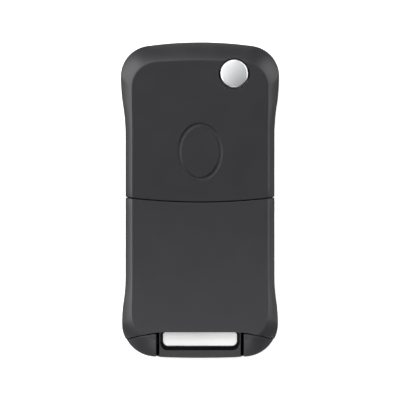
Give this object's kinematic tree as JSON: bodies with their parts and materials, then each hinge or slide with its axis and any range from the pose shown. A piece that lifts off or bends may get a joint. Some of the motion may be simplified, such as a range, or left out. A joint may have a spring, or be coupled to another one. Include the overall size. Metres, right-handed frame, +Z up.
{
  "type": "flip key remote shell",
  "caption": "Flip key remote shell with a swing-out blade, round release button, three front keys and a key ring eye.",
  "frame": {"origin": "below the middle of the case, on the plane of its front face", "axes": "+Z up through the back; +Y towards the end that the blade swings out of; +X towards the side that the blade folds into, seen from the back"},
  "size_m": [0.0394, 0.0785, 0.0174],
  "materials": {
    "shell_plastic": "fine matt texture",
    "loop_plastic": "glossy",
    "carrier_plastic": "smooth satin",
    "blade_steel": "nickel plated",
    "pin_steel": "bright",
    "button_metal": "satin silver",
    "spring_steel": "drawn wire",
    "anchor_steel": "stamped",
    "key_plastic": "soft satin",
    "mat_rubber": "matt",
    "lens_plastic": "clear tinted",
    "screw_steel": "black zinc",
    "contact_metal": "nickel plated"
  },
  "bodies": {
    "case": {"upper_back_shell": "shell_plastic", "upper_front_shell": "shell_plastic", "lower_back_cover": "shell_plastic", "lower_front_shell": "shell_plastic", "keyring_loop": "loop_plastic", "spring_anchor": "anchor_steel", "transponder_cover": "carrier_plastic", "keypad_mat": "mat_rubber", "indicator_lens": "lens_plastic", "coupling_screws": "screw_steel", "rim_contact": "contact_metal", "face_contact": "contact_metal"},
    "blade_arm": {"blade_carrier": "carrier_plastic", "key_blade": "blade_steel", "blade_roll_pin": "pin_steel", "torsion_spring": "spring_steel"},
    "release_button": {"release_button": "button_metal"},
    "lock_key": {"lock_key": "key_plastic"},
    "unlock_key": {"unlock_key": "key_plastic"},
    "boot_key": {"boot_key": "key_plastic"}
  },
  "joints": [
    {"name": "blade_swing", "type": "hinge", "parent": "case", "child": "blade_arm", "pos_m": [0.0085, 0.0314, 0], "axis": [0, 0, 1], "range_deg": [0, 180], "deforming": ["torsion_spring"]},
    {"name": "release_press", "type": "slide", "parent": "blade_arm", "child": "release_button", "axis": [0, 0, -1], "range_m": [0, 0.0025], "stiffness_N_per_m": 800, "deforming": ["torsion_spring"]},
    {"name": "lock_press", "type": "slide", "parent": "case", "child": "lock_key", "axis": [0, 0, 1], "range_m": [0, 0.0006], "stiffness_N_per_m": 1500, "deforming": ["keypad_mat"]},
    {"name": "unlock_press", "type": "slide", "parent": "case", "child": "unlock_key", "axis": [0, 0, 1], "range_m": [0, 0.0006], "stiffness_N_per_m": 1500, "deforming": ["keypad_mat"]},
    {"name": "boot_press", "type": "slide", "parent": "case", "child": "boot_key", "axis": [0, 0, 1], "range_m": [0, 0.0006], "stiffness_N_per_m": 1500, "deforming": ["keypad_mat"]}
  ]
}
